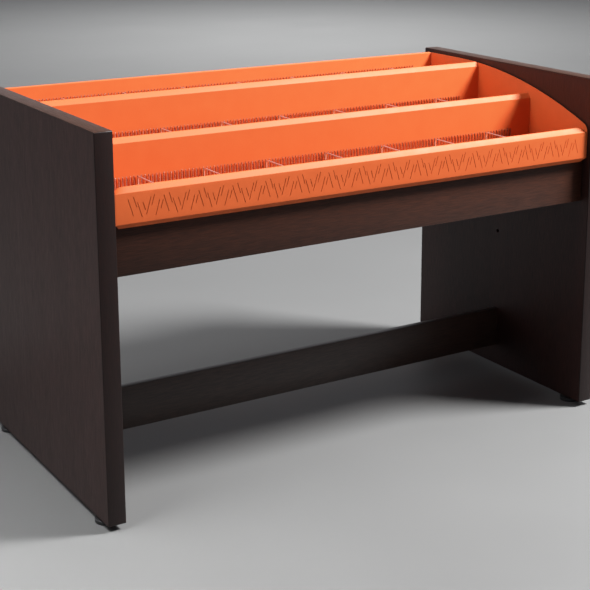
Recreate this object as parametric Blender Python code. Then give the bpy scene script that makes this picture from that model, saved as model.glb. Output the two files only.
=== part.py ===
"""A free-standing bin for discs: two board end panels, three rails and a stepped steel tray.

The tray has three rows, and in each lies a loose rack of wire that parts the row into lanes.
Units are metres, +Z is up, the front is -Y, and the origin is on the floor under the middle.
"""

import math

import bmesh
import bpy
from mathutils import Matrix, Vector

# Gap left between pieces that touch, and play round a pin in its hole
GAP = 0.0003
HOLE_PLAY = 0.0003

# End panels: a board with an edge band glued round its four edges
INNER_WIDTH = 1.200
PANEL_THICKNESS = 0.038
PANEL_DEPTH = 0.662
PANEL_HEIGHT = 0.797
BAND_THICKNESS = 0.002
BAND_CORNER_RADIUS = 0.003
SPARE_BORE_DIAMETER = 0.010
SPARE_BORE_DEPTH = 0.012
SPARE_BORE_HEIGHT = 0.360

# Rails between the panels: two aprons that carry the tray, and a low stretcher
RAIL_THICKNESS = 0.018
APRON_HEIGHT = 0.102
FRONT_APRON_SETBACK = 0.026
REAR_APRON_SETBACK = 0.074
STRETCHER_HEIGHT = 0.100
STRETCHER_BASE = 0.053

# Fittings that join a rail to a panel: one cam fitting between two dowels at each end
DOWEL_DIAMETER = 0.008
DOWEL_LENGTH = 0.030
DOWEL_EDGE_DISTANCE = 0.022
CAM_BOLT_DIAMETER = 0.006
CAM_BOLT_BITE = 0.011
CAM_BOLT_REACH = 0.034
CAM_DISC_DIAMETER = 0.015
CAM_DISC_DEPTH = 0.0125

# Tray: three folded row pans between two cheeks
ROWS = 3
SHEET = 0.0015
CHEEK_SHEET = 0.002
TRAY_SIDE_GAP = 0.003
TRAY_SETBACK = 0.010
BACK_SETBACK = 0.034
TRAY_TOP_DROP = 0.009
ROW_RISE = 0.052
RIDGE_DROP = 0.0015
ROW_DEPTH = 0.0755
FRONT_FACE_HEIGHT = 0.061
HEM = 0.010
BEVEL_RISE = 0.011
BEVEL_RUN = 0.009
RIDGE_FLAT = 0.004
LIP_END_LENGTH = 0.025
LIP_END_RISE = 0.001
UPSTAND = 0.025
BACK_RETURN = 0.010
FOLD_RADIUS = 0.0018

# Outline of the cheeks' top edge: level at the back, then one arc that falls to the front corner
CHEEK_LEVEL = 0.120
CHEEK_FRONT_RISE = 0.003
CHEEK_CORNER_RADIUS = 0.020

# Screws through the pans' floors into the aprons, beside the ends of the loose racks
SCREW_DIAMETER = 0.004
SCREW_LENGTH = 0.026
SCREW_HEAD_DIAMETER = 0.009
SCREW_HEAD_HEIGHT = 0.0025
SCREW_HEAD_CHAMFER = 0.0012
SCREW_FROM_END = 0.035

# Wire racks: a comb at the back of the row, a floor frame and the lane wires
FINE_WIRE = 0.0026
LANE_WIRE = 0.0028
FRAME_WIRE = 0.0042
LANE_PITCH = 0.152
WIRES_PER_LANE = 18
WIRES_PAST_LAST_LANE = 9
COMB_HEIGHT = 0.0465
COMB_BASE = 0.005
COMB_BACK_GAP = 0.0012
FRAME_FRONT_GAP = 0.006
WIRE_BEND_RADIUS = 0.008

# Levelling feet: a pad, a stud with a hexagon, and a threaded insert in the panel
PAD_DIAMETER = 0.048
PAD_HEIGHT = 0.008
PAD_SOCKET_DEPTH = 0.005
PAD_CHAMFER = 0.0015
STUD_DIAMETER = 0.008
HEXAGON_ACROSS = 0.017
HEXAGON_HEIGHT = 0.0034
STUD_ENGAGEMENT = 0.026
INSERT_WALL = 0.0012
INSERT_LENGTH = 0.018
FOOT_INSET = 0.055

# Fineness of the round shapes: sides of a circle, and steps in a fold, a wire's bend and a long arc
PIN_SIDES = 12
DISC_SIDES = 16
PAD_SIDES = 24
FOLD_STEPS = 2
BEND_STEPS = 3
CORNER_STEPS = 5
ARC_STEPS = 10
SMOOTH_ANGLE = math.radians(35)

# Levels and places that follow from the sizes above
PANEL_BASE = PAD_HEIGHT + HEXAGON_HEIGHT + 2 * GAP
PANEL_TOP = PANEL_BASE + PANEL_HEIGHT
PANEL_CENTRE_X = (INNER_WIDTH + PANEL_THICKNESS) / 2
TRAY_TOP = PANEL_TOP - TRAY_TOP_DROP
TRAY_FRONT_Y = TRAY_SETBACK - PANEL_DEPTH / 2
TRAY_BACK_Y = PANEL_DEPTH / 2 - BACK_SETBACK
ROW_PITCH = (TRAY_BACK_Y - TRAY_FRONT_Y) / ROWS
LIP_DEPTH = BEVEL_RUN + RIDGE_FLAT
CHEEK_OUTER_X = INNER_WIDTH / 2 - TRAY_SIDE_GAP
CHEEK_INNER_X = CHEEK_OUTER_X - CHEEK_SHEET
PAN_END_X = CHEEK_INNER_X - GAP
FINE_PITCH = LANE_PITCH / WIRES_PER_LANE
LANES = round(INNER_WIDTH / LANE_PITCH)
STUD_BORE = STUD_DIAMETER + 2 * HOLE_PLAY
INSERT_DIAMETER = STUD_BORE + 2 * INSERT_WALL

SIDES = {"left": -1, "right": 1}
ENDS = {"front": -1, "rear": 1}
ROW_NAMES = ["front_row", "middle_row", "back_row"]

WOOD = ((0.035, 0.022, 0.017), 0.45, 0.0)
BAND = ((0.040, 0.026, 0.020), 0.40, 0.0)
ORANGE = ((0.720, 0.140, 0.030), 0.38, 0.0)
WIRE = ((0.780, 0.780, 0.800), 0.18, 1.0)
STEEL = ((0.560, 0.560, 0.570), 0.30, 1.0)
BLACK = ((0.015, 0.015, 0.016), 0.55, 0.0)
BEECH = ((0.560, 0.400, 0.250), 0.60, 0.0)


def row_face_y(row):
    """Front face of a row's lip; row number ROWS gives the tray's back wall."""
    return TRAY_FRONT_Y + row * ROW_PITCH


def row_ridge_z(row):
    return TRAY_TOP - RIDGE_DROP - (ROWS - 1 - row) * ROW_RISE


def row_floor_z(row):
    """Upper side of a row's floor."""
    return row_ridge_z(row) - ROW_DEPTH


def material(name, look):
    colour, roughness, metallic = look
    made = bpy.data.materials.new(name)
    made.use_nodes = True
    shader = made.node_tree.nodes["Principled BSDF"]
    shader.inputs["Base Color"].default_value = (*colour, 1.0)
    shader.inputs["Roughness"].default_value = roughness
    shader.inputs["Metallic"].default_value = metallic
    return made


def add_object(name, mesh_builder, look, smooth=False):
    """Make one named object from a bmesh, with a material of its own."""
    bmesh.ops.recalc_face_normals(mesh_builder, faces=mesh_builder.faces)
    mesh = bpy.data.meshes.new(name)
    mesh_builder.to_mesh(mesh)
    mesh_builder.free()
    if smooth:
        mesh.shade_smooth()
        mesh.set_sharp_from_angle(angle=SMOOTH_ANGLE)
    made = bpy.data.objects.new(name, mesh)
    bpy.context.collection.objects.link(made)
    made.data.materials.append(material(name, look))
    return made


def move_origin(made, point):
    """Put an object's origin on a joint's axis and leave its mesh where it is."""
    made.data.transform(Matrix.Translation(-Vector(point)))
    made.location = point


def add_box(builder, low, high):
    size = [b - a for a, b in zip(low, high)]
    middle = [(a + b) / 2 for a, b in zip(low, high)]
    place = Matrix.Translation(middle) @ Matrix.Diagonal((*size, 1.0))
    bmesh.ops.create_cube(builder, size=1.0, matrix=place)


def add_cylinder(builder, start, end, diameter, segments=PIN_SIDES):
    """A closed cylinder between two points."""
    start, end = Vector(start), Vector(end)
    along = end - start
    place = Matrix.Translation((start + end) / 2) @ along.to_track_quat("Z", "Y").to_matrix().to_4x4()
    bmesh.ops.create_cone(builder, cap_ends=True, segments=segments, radius1=diameter / 2,
                          radius2=diameter / 2, depth=along.length, matrix=place)


def add_turned(builder, profile, base, segments):
    """A solid of revolution: the profile's (radius, height) points run from axis to axis."""
    points = [builder.verts.new((radius, 0.0, height)) for radius, height in profile]
    chain = [builder.edges.new(pair) for pair in zip(points, points[1:])]
    bmesh.ops.spin(builder, geom=points + chain, cent=(0, 0, 0), axis=(0, 0, 1),
                   angle=2 * math.pi, steps=segments, use_merge=True)
    bmesh.ops.remove_doubles(builder, verts=builder.verts, dist=1e-6)
    bmesh.ops.translate(builder, verts=builder.verts, vec=base)


def cutter(name, builder):
    """A hidden object that cuts holes."""
    bmesh.ops.recalc_face_normals(builder, faces=builder.faces)
    mesh = bpy.data.meshes.new(name)
    builder.to_mesh(mesh)
    builder.free()
    made = bpy.data.objects.new(name, mesh)
    bpy.context.collection.objects.link(made)
    made.hide_render = True
    made.display_type = "WIRE"
    return made


def cut(target, tool):
    modifier = target.modifiers.new(tool.name, "BOOLEAN")
    modifier.operation = "DIFFERENCE"
    modifier.solver = "EXACT"
    modifier.object = tool


def join(target, added):
    modifier = target.modifiers.new(added.name, "BOOLEAN")
    modifier.operation = "UNION"
    modifier.solver = "EXACT"
    modifier.object = added


def filleted(points, radius, steps):
    """A polyline with each inner corner turned into an arc of a few points."""
    result = [Vector(points[0])]
    for before, corner, after in zip(points, points[1:], points[2:]):
        before, corner, after = Vector(before), Vector(corner), Vector(after)
        toward_start = (before - corner).normalized()
        toward_end = (after - corner).normalized()
        half_angle = toward_start.angle(toward_end) / 2
        tangent = radius / math.tan(half_angle)
        centre = corner + (toward_start + toward_end).normalized() * radius / math.sin(half_angle)
        first = corner + toward_start * tangent - centre
        last = corner + toward_end * tangent - centre
        sweep = first.angle(last)
        for step in range(steps + 1):
            share = step / steps
            blend = (first * math.sin((1 - share) * sweep) + last * math.sin(share * sweep)) / math.sin(sweep)
            result.append(centre + blend)
    result.append(Vector(points[-1]))
    return result


def rail_layout():
    """Each rail's name, the level of its underside, its height and the middle of its thickness."""
    front_y = FRONT_APRON_SETBACK + RAIL_THICKNESS / 2 - PANEL_DEPTH / 2
    rear_y = PANEL_DEPTH / 2 - REAR_APRON_SETBACK - RAIL_THICKNESS / 2
    front_top = row_floor_z(0) - SHEET - GAP
    rear_top = row_floor_z(ROWS - 1) - SHEET - GAP
    return [
        ("front_apron", front_top - APRON_HEIGHT, APRON_HEIGHT, front_y),
        ("rear_apron", rear_top - APRON_HEIGHT, APRON_HEIGHT, rear_y),
        ("lower_stretcher", PANEL_BASE + STRETCHER_BASE, STRETCHER_HEIGHT, 0.0),
    ]


def dowel_places():
    """Name, depth and height of each dowel in a panel's inner face."""
    places = []
    for rail_name, base, height, y in rail_layout():
        places.append((f"{rail_name}_lower", y, base + DOWEL_EDGE_DISTANCE))
        places.append((f"{rail_name}_upper", y, base + height - DOWEL_EDGE_DISTANCE))
    return places


def cam_places():
    """Name, depth and height of each cam fitting."""
    return [(rail_name, y, base + height / 2) for rail_name, base, height, y in rail_layout()]


def foot_places():
    """Name and floor position of each foot."""
    inset = PANEL_DEPTH / 2 - FOOT_INSET
    return [(f"{end}_{side}", side_sign * PANEL_CENTRE_X, end_sign * inset)
            for side, side_sign in SIDES.items() for end, end_sign in ENDS.items()]


def make_panel(side, sign):
    """The board of one end panel, bored for dowels, cam bolts, foot inserts and, half way up, a shelf pin."""
    inner_x = sign * INNER_WIDTH / 2
    outer_x = inner_x + sign * PANEL_THICKNESS
    edge = BAND_THICKNESS + GAP
    builder = bmesh.new()
    add_box(builder, (min(inner_x, outer_x), edge - PANEL_DEPTH / 2, PANEL_BASE + edge),
            (max(inner_x, outer_x), PANEL_DEPTH / 2 - edge, PANEL_TOP - edge))
    board = add_object(f"{side}_end_panel", builder, WOOD)

    bores = bmesh.new()
    outside = inner_x - sign * GAP
    for _, y, z in dowel_places():
        depth = inner_x + sign * (DOWEL_LENGTH / 2 + GAP)
        add_cylinder(bores, (outside, y, z), (depth, y, z), DOWEL_DIAMETER + 2 * HOLE_PLAY)
    for _, y, z in cam_places():
        depth = inner_x + sign * (CAM_BOLT_BITE + GAP)
        add_cylinder(bores, (outside, y, z), (depth, y, z), CAM_BOLT_DIAMETER + 2 * HOLE_PLAY)
    spare_z = PANEL_BASE + SPARE_BORE_HEIGHT
    spare_end = inner_x + sign * SPARE_BORE_DEPTH
    add_cylinder(bores, (outside, 0.0, spare_z), (spare_end, 0.0, spare_z), SPARE_BORE_DIAMETER, DISC_SIDES)
    cut(board, cutter(f"{side}_panel_bores", bores))

    sockets = bmesh.new()
    for _, x, y in foot_places():
        if x * sign > 0:
            top = PANEL_BASE + INSERT_LENGTH + GAP
            add_cylinder(sockets, (x, y, PANEL_BASE), (x, y, top), INSERT_DIAMETER + 2 * HOLE_PLAY)
    cut(board, cutter(f"{side}_panel_sockets", sockets))
    wells = bmesh.new()
    for _, x, y in foot_places():
        if x * sign > 0:
            top = PANEL_BASE + STUD_ENGAGEMENT + 2 * GAP
            add_cylinder(wells, (x, y, PANEL_BASE), (x, y, top), STUD_BORE)
    cut(board, cutter(f"{side}_panel_wells", wells))


def make_edge_band(side, sign):
    """The strip round a panel's four edges, open at the bottom where the foot studs pass."""
    inner_x = sign * INNER_WIDTH / 2
    outer_x = inner_x + sign * PANEL_THICKNESS
    low_x, high_x = min(inner_x, outer_x), max(inner_x, outer_x)
    builder = bmesh.new()
    add_box(builder, (low_x, -PANEL_DEPTH / 2, PANEL_BASE), (high_x, PANEL_DEPTH / 2, PANEL_TOP))
    corners = [e for e in builder.edges if abs(e.verts[0].co.x - e.verts[1].co.x) > PANEL_THICKNESS / 2]
    bmesh.ops.bevel(builder, geom=corners, offset=BAND_CORNER_RADIUS, affect="EDGES", segments=3,
                    profile=0.5, material=-1)
    band = add_object(f"{side}_edge_band", builder, BAND)

    window = bmesh.new()
    add_box(window, (low_x - BAND_THICKNESS, BAND_THICKNESS - PANEL_DEPTH / 2, PANEL_BASE + BAND_THICKNESS),
            (high_x + BAND_THICKNESS, PANEL_DEPTH / 2 - BAND_THICKNESS, PANEL_TOP - BAND_THICKNESS))
    cut(band, cutter(f"{side}_band_window", window))
    passages = bmesh.new()
    for _, x, y in foot_places():
        if x * sign > 0:
            below = PANEL_BASE - BAND_THICKNESS
            above = PANEL_BASE + 2 * BAND_THICKNESS
            add_cylinder(passages, (x, y, below), (x, y, above), INSERT_DIAMETER + 2 * HOLE_PLAY)
    cut(band, cutter(f"{side}_band_passages", passages))


def make_rail(name, base, height, y):
    """A board between the panels, bored at its ends for dowels and at its back for the cams."""
    end_x = INNER_WIDTH / 2 - GAP
    builder = bmesh.new()
    add_box(builder, (-end_x, y - RAIL_THICKNESS / 2, base), (end_x, y + RAIL_THICKNESS / 2, base + height))
    rail = add_object(name, builder, WOOD)

    bores = bmesh.new()
    for sign in SIDES.values():
        start = sign * (end_x + GAP)
        for z in (base + DOWEL_EDGE_DISTANCE, base + height - DOWEL_EDGE_DISTANCE):
            depth = sign * (INNER_WIDTH / 2 - DOWEL_LENGTH / 2 - GAP)
            add_cylinder(bores, (start, y, z), (depth, y, z), DOWEL_DIAMETER + 2 * HOLE_PLAY)
        middle = base + height / 2
        depth = sign * (INNER_WIDTH / 2 - CAM_BOLT_REACH)
        add_cylinder(bores, (start, y, middle), (depth, y, middle), CAM_BOLT_DIAMETER + 2 * HOLE_PLAY)
    cut(rail, cutter(f"{name}_end_bores", bores))

    pockets = bmesh.new()
    for sign in SIDES.values():
        x = sign * (INNER_WIDTH / 2 - CAM_BOLT_REACH)
        back = y + RAIL_THICKNESS / 2
        add_cylinder(pockets, (x, back - CAM_DISC_DEPTH - GAP, base + height / 2),
                     (x, back + GAP, base + height / 2), CAM_DISC_DIAMETER + 2 * HOLE_PLAY, DISC_SIDES)
    cut(rail, cutter(f"{name}_cam_pockets", pockets))

    if name.endswith("apron"):
        pilots = bmesh.new()
        for _, x, screw_y, seat in screw_places():
            if abs(screw_y - y) < RAIL_THICKNESS / 2:
                mouth = base + height + GAP
                tip = seat - SCREW_LENGTH - GAP
                add_cylinder(pilots, (x, screw_y, tip), (x, screw_y, mouth), SCREW_DIAMETER + 2 * HOLE_PLAY)
        cut(rail, cutter(f"{name}_pilots", pilots))


def make_dowel(side, sign, place, y, z):
    builder = bmesh.new()
    middle = sign * INNER_WIDTH / 2
    add_cylinder(builder, (middle - DOWEL_LENGTH / 2, y, z), (middle + DOWEL_LENGTH / 2, y, z), DOWEL_DIAMETER)
    add_object(f"{place}_{side}_dowel", builder, BEECH, smooth=True)


def make_cam_fitting(side, sign, place, y, z):
    """A cam bolt screwed into the panel, and the cam disc in the rail that draws it tight."""
    disc_x = sign * (INNER_WIDTH / 2 - CAM_BOLT_REACH)
    back = y + RAIL_THICKNESS / 2
    builder = bmesh.new()
    add_cylinder(builder, (sign * (INNER_WIDTH / 2 + CAM_BOLT_BITE), y, z), (disc_x + sign * GAP, y, z),
                 CAM_BOLT_DIAMETER)
    add_object(f"{place}_{side}_cam_bolt", builder, STEEL, smooth=True)

    builder = bmesh.new()
    add_cylinder(builder, (disc_x, back - CAM_DISC_DEPTH, z), (disc_x, back, z), CAM_DISC_DIAMETER, DISC_SIDES)
    disc = add_object(f"{place}_{side}_cam_disc", builder, STEEL, smooth=True)
    slot = bmesh.new()
    add_cylinder(slot, (disc_x, y, z), (disc_x + sign * CAM_DISC_DIAMETER, y, z),
                 CAM_BOLT_DIAMETER + 2 * HOLE_PLAY)
    cut(disc, cutter(f"{place}_{side}_cam_slot", slot))


def pan_section(row, lip_rise):
    """Visible side of a pan's folded section, from the skirt's foot to the back, as (y, z) points."""
    face_y = row_face_y(row)
    next_y = row_face_y(row + 1)
    fold_z = row_ridge_z(row) - BEVEL_RISE
    floor_z = row_floor_z(row)
    wall_y = face_y + LIP_DEPTH
    if row == 0:
        face_foot = fold_z - FRONT_FACE_HEIGHT
        section = [(face_y + HEM, face_foot - HEM), (face_y, face_foot)]
    else:
        section = [(face_y, row_floor_z(row - 1) + FOLD_RADIUS + GAP)]
    section += [(face_y, fold_z), (face_y + BEVEL_RUN, fold_z + lip_rise),
                (wall_y, fold_z + lip_rise), (wall_y, floor_z)]
    if row == ROWS - 1:
        section += [(next_y, floor_z), (next_y, TRAY_TOP), (next_y + BACK_RETURN, TRAY_TOP)]
    else:
        behind_skirt = next_y + SHEET + GAP
        section += [(behind_skirt, floor_z), (behind_skirt, floor_z + UPSTAND)]
    return filleted([(y, z, 0.0) for y, z in section], FOLD_RADIUS, FOLD_STEPS)


def make_pan(row):
    """One folded pan: a strip of sheet along the row, with the front pan's lip drawn down at its ends."""
    if row == 0:
        stations = [(-PAN_END_X, LIP_END_RISE), (LIP_END_LENGTH - PAN_END_X, BEVEL_RISE),
                    (PAN_END_X - LIP_END_LENGTH, BEVEL_RISE), (PAN_END_X, LIP_END_RISE)]
    else:
        stations = [(-PAN_END_X, BEVEL_RISE), (PAN_END_X, BEVEL_RISE)]
    builder = bmesh.new()
    rings = []
    for x, lip_rise in stations:
        rings.append([builder.verts.new((x, point.x, point.y)) for point in pan_section(row, lip_rise)])
    for ring, after in zip(rings, rings[1:]):
        for index in range(len(ring) - 1):
            builder.faces.new((ring[index], after[index], after[index + 1], ring[index + 1]))
    mesh = bpy.data.meshes.new(f"{ROW_NAMES[row]}_pan")
    builder.to_mesh(mesh)
    builder.free()
    pan = bpy.data.objects.new(mesh.name, mesh)
    bpy.context.collection.objects.link(pan)
    pan.data.materials.append(material(mesh.name, ORANGE))
    sheet = pan.modifiers.new("sheet", "SOLIDIFY")
    sheet.thickness = SHEET
    sheet.offset = -1.0
    sheet.use_even_offset = True

    holes = bmesh.new()
    drilled = False
    for _, x, y, seat in screw_places():
        if abs(seat - row_floor_z(row)) < GAP:
            add_cylinder(holes, (x, y, seat - 2 * SHEET), (x, y, seat + SHEET), SCREW_DIAMETER + 4 * HOLE_PLAY)
            drilled = True
    if drilled:
        cut(pan, cutter(f"{ROW_NAMES[row]}_screw_holes", holes))
    else:
        holes.free()


def cheek_outline():
    """Outline of a cheek as (y, z) points: the foot, stepped with the floors, then the back and the top."""
    front_foot = row_ridge_z(0) - BEVEL_RISE - FRONT_FACE_HEIGHT
    arc_start_y = TRAY_BACK_Y - CHEEK_LEVEL
    corner_z = row_ridge_z(0) + CHEEK_FRONT_RISE
    run = arc_start_y - TRAY_FRONT_Y
    fall = TRAY_TOP - corner_z
    arc_radius = (run ** 2 + fall ** 2) / (2 * fall)
    whole_angle = math.asin(run / arc_radius)
    points = [(TRAY_FRONT_Y, front_foot)]
    for row in range(ROWS):
        points.append((row_face_y(row) + LIP_DEPTH, row_floor_z(row) - SHEET))
        points.append((row_face_y(row + 1), row_floor_z(row) - SHEET))
    points.append((TRAY_BACK_Y, TRAY_TOP))

    for step in range(ARC_STEPS):
        angle = whole_angle * step / ARC_STEPS
        points.append((arc_start_y - arc_radius * math.sin(angle),
                       TRAY_TOP - arc_radius * (1 - math.cos(angle))))
    rounded = filleted([(*points[-1], 0.0), (TRAY_FRONT_Y, corner_z, 0.0), (TRAY_FRONT_Y, front_foot, 0.0)],
                       CHEEK_CORNER_RADIUS, CORNER_STEPS)
    points += [(point.x, point.y) for point in rounded[1:-1]]
    return points


def make_cheek(side, sign):
    """A tray cheek: flat sheet cut to the outline."""
    builder = bmesh.new()
    outline = [builder.verts.new((sign * CHEEK_INNER_X, y, z)) for y, z in cheek_outline()]
    face = builder.faces.new(outline)
    swept = bmesh.ops.extrude_face_region(builder, geom=[face], use_keep_orig=True)["geom"]
    moved = [item for item in swept if isinstance(item, bmesh.types.BMVert)]
    bmesh.ops.translate(builder, verts=moved, vec=(sign * CHEEK_SHEET, 0, 0))
    add_object(f"{side}_cheek", builder, ORANGE)


def screw_places():
    """Each tray screw's name, x and y, and the level of the floor that its head sits on."""
    places = []
    for rail_name, _, _, y in rail_layout():
        if rail_name.endswith("apron"):
            row = 0 if y < 0 else ROWS - 1
            for side, sign in SIDES.items():
                x = sign * (INNER_WIDTH / 2 - SCREW_FROM_END)
                places.append((f"{rail_name}_{side}", x, y, row_floor_z(row)))
    return places


def make_screw(place, x, y, seat):
    builder = bmesh.new()
    head = SCREW_HEAD_DIAMETER / 2
    shank = SCREW_DIAMETER / 2
    profile = [(0.0, SCREW_HEAD_HEIGHT), (head - SCREW_HEAD_CHAMFER, SCREW_HEAD_HEIGHT),
               (head, SCREW_HEAD_HEIGHT - SCREW_HEAD_CHAMFER), (head, 0.0), (shank, 0.0),
               (shank, shank - SCREW_LENGTH), (0.0, -SCREW_LENGTH)]
    add_turned(builder, profile, (x, y, seat + GAP), PIN_SIDES)
    add_object(f"{place}_screw", builder, STEEL, smooth=True)


def lane_positions():
    return [(index - (LANES - 2) / 2) * LANE_PITCH for index in range(LANES - 1)]


def rack_levels(row):
    """Level of the rack's underside, and the depths of the comb and of the floor wire's front run."""
    under = row_floor_z(row) + GAP
    comb_y = row_face_y(row + 1) - COMB_BACK_GAP - FINE_WIRE / 2
    front_y = row_face_y(row) + LIP_DEPTH + FRAME_FRONT_GAP + FRAME_WIRE / 2
    return under, comb_y, front_y


def make_comb(row):
    """The comb: a long base wire with fine uprights welded along it, open at their tips."""
    under, comb_y, _ = rack_levels(row)
    first = lane_positions()[0] - WIRES_PAST_LAST_LANE * FINE_PITCH
    count = (LANES - 2) * WIRES_PER_LANE + 2 * WIRES_PAST_LAST_LANE + 1
    valley = under + COMB_BASE
    tip = under + COMB_HEIGHT
    builder = bmesh.new()
    lower = []
    upper = []
    for index in range(count):
        left = first + index * FINE_PITCH - FINE_WIRE / 2
        for x in (left, left + FINE_WIRE):
            lower.append(builder.verts.new((x, comb_y - FINE_WIRE / 2, under)))
            upper.append(builder.verts.new((x, comb_y - FINE_WIRE / 2, valley)))
    faces = []
    for index in range(len(lower) - 1):
        faces.append(builder.faces.new((lower[index], lower[index + 1], upper[index + 1], upper[index])))
    for index in range(0, len(upper), 2):
        tips = [builder.verts.new((vertex.co.x, vertex.co.y, tip)) for vertex in upper[index:index + 2]]
        faces.append(builder.faces.new((upper[index], upper[index + 1], tips[1], tips[0])))
    swept = bmesh.ops.extrude_face_region(builder, geom=faces, use_keep_orig=True)["geom"]
    moved = [item for item in swept if isinstance(item, bmesh.types.BMVert)]
    bmesh.ops.translate(builder, verts=moved, vec=(0, FINE_WIRE, 0))
    comb = add_object(f"{ROW_NAMES[row]}_comb", builder, WIRE)
    move_origin(comb, (0, comb_y, under))


def wire_object(name, routes, diameter):
    """Bent wires in one object, each a round tube along its own route."""
    curve = bpy.data.curves.new(name, "CURVE")
    curve.dimensions = "3D"
    curve.bevel_depth = diameter / 2
    curve.bevel_resolution = 1
    curve.use_fill_caps = True
    for route in routes:
        spline = curve.splines.new("POLY")
        spline.points.add(len(route) - 1)
        for point, place in zip(spline.points, route):
            point.co = (*place, 1.0)
    drawn = bpy.data.objects.new(name, curve)
    builder = bmesh.new()
    builder.from_mesh(drawn.to_mesh())
    bmesh.ops.remove_doubles(builder, verts=builder.verts, dist=1e-6)
    bpy.data.objects.remove(drawn, do_unlink=True)
    return builder


def make_lane_frame(row):
    """The floor wire, bent back at both ends to the comb, with the lane wires' hoops welded on it.

    A hoop rises in front of the comb, runs forward at the level of its tips, and comes down on the floor wire.
    """
    under, comb_y, front_y = rack_levels(row)
    name = f"{ROW_NAMES[row]}_lane_frame"
    axis_z = under + FRAME_WIRE / 2
    end_x = lane_positions()[-1] + WIRES_PAST_LAST_LANE * FINE_PITCH
    comb_front = comb_y - FINE_WIRE / 2 - GAP
    route = [(-end_x, comb_front, axis_z), (-end_x, front_y, axis_z), (end_x, front_y, axis_z),
             (end_x, comb_front, axis_z)]
    floor_wire = wire_object(name, [filleted(route, WIRE_BEND_RADIUS, BEND_STEPS)], FRAME_WIRE)
    frame = add_object(name, floor_wire, WIRE, smooth=True)

    back_y = comb_front - LANE_WIRE / 2
    top_z = under + COMB_HEIGHT - LANE_WIRE / 2
    hoops = []
    for x in lane_positions():
        route = [(x, back_y, under), (x, back_y, top_z), (x, front_y, top_z), (x, front_y, axis_z)]
        hoops.append(filleted(route, WIRE_BEND_RADIUS, BEND_STEPS))
    guide = cutter(f"{ROW_NAMES[row]}_hoops", wire_object(f"{name}_hoops", hoops, LANE_WIRE))
    join(frame, guide)


def make_foot(name, x, y):
    """A levelling foot: the pad on the floor and the stud that turns in its socket."""
    radius = PAD_DIAMETER / 2
    socket = STUD_BORE / 2
    socket_floor = PAD_HEIGHT - PAD_SOCKET_DEPTH
    flat = radius - PAD_CHAMFER
    builder = bmesh.new()
    profile = [(0.0, socket_floor), (socket, socket_floor), (socket, PAD_HEIGHT), (flat, PAD_HEIGHT),
               (radius, PAD_HEIGHT - PAD_CHAMFER), (radius, PAD_CHAMFER), (flat, 0.0), (0.0, 0.0)]
    add_turned(builder, profile, (x, y, 0.0), PAD_SIDES)
    pad = add_object(f"{name}_foot_pad", builder, BLACK, smooth=True)
    move_origin(pad, (x, y, 0.0))

    builder = bmesh.new()
    shank = STUD_DIAMETER / 2
    foot = socket_floor + GAP
    hexagon_foot = PAD_HEIGHT + GAP
    hexagon_top = hexagon_foot + HEXAGON_HEIGHT
    stud_top = PANEL_BASE + STUD_ENGAGEMENT
    hexagon = HEXAGON_ACROSS / math.sqrt(3)
    rings = []
    for level, outer in [(foot, shank), (hexagon_foot, shank), (hexagon_foot, hexagon), (hexagon_top, hexagon),
                         (hexagon_top, shank), (stud_top, shank)]:
        ring = []
        for index in range(PIN_SIDES):
            angle = 2 * math.pi * index / PIN_SIDES
            reach = outer
            if outer is hexagon and index % 2:
                reach = HEXAGON_ACROSS / 2
            ring.append(builder.verts.new((x + reach * math.cos(angle), y + reach * math.sin(angle), level)))
        rings.append(ring)
    for ring, after in zip(rings, rings[1:]):
        for index in range(PIN_SIDES):
            follow = (index + 1) % PIN_SIDES
            builder.faces.new((ring[index], ring[follow], after[follow], after[index]))
    builder.faces.new(rings[0])
    builder.faces.new(rings[-1])
    stud = add_object(f"{name}_foot_stud", builder, STEEL, smooth=True)
    move_origin(stud, (x, y, 0.0))


def make_foot_insert(name, x, y):
    """A threaded sleeve in a panel's lower edge, flush with the edge band."""
    top = PANEL_BASE + INSERT_LENGTH
    builder = bmesh.new()
    add_cylinder(builder, (x, y, PANEL_BASE), (x, y, top), INSERT_DIAMETER)
    insert = add_object(f"{name}_foot_insert", builder, STEEL, smooth=True)
    bore = bmesh.new()
    add_cylinder(bore, (x, y, PANEL_BASE - GAP), (x, y, top + GAP), STUD_BORE)
    cut(insert, cutter(f"{name}_insert_bore", bore))


for leftover in list(bpy.data.objects):
    bpy.data.objects.remove(leftover, do_unlink=True)

for side_name, side_sign in SIDES.items():
    make_panel(side_name, side_sign)
    make_edge_band(side_name, side_sign)
for rail in rail_layout():
    make_rail(*rail)
for side_name, side_sign in SIDES.items():
    for dowel_place in dowel_places():
        make_dowel(side_name, side_sign, *dowel_place)
    for cam_place in cam_places():
        make_cam_fitting(side_name, side_sign, *cam_place)
for row_number in range(ROWS):
    make_pan(row_number)
for side_name, side_sign in SIDES.items():
    make_cheek(side_name, side_sign)
for screw_place in screw_places():
    make_screw(*screw_place)
for row_number in range(ROWS):
    make_comb(row_number)
    make_lane_frame(row_number)
for foot_name, foot_x, foot_y in foot_places():
    make_foot(foot_name, foot_x, foot_y)
    make_foot_insert(foot_name, foot_x, foot_y)
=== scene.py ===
import math

import bmesh
import bpy
from mathutils import Matrix, Vector


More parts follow.
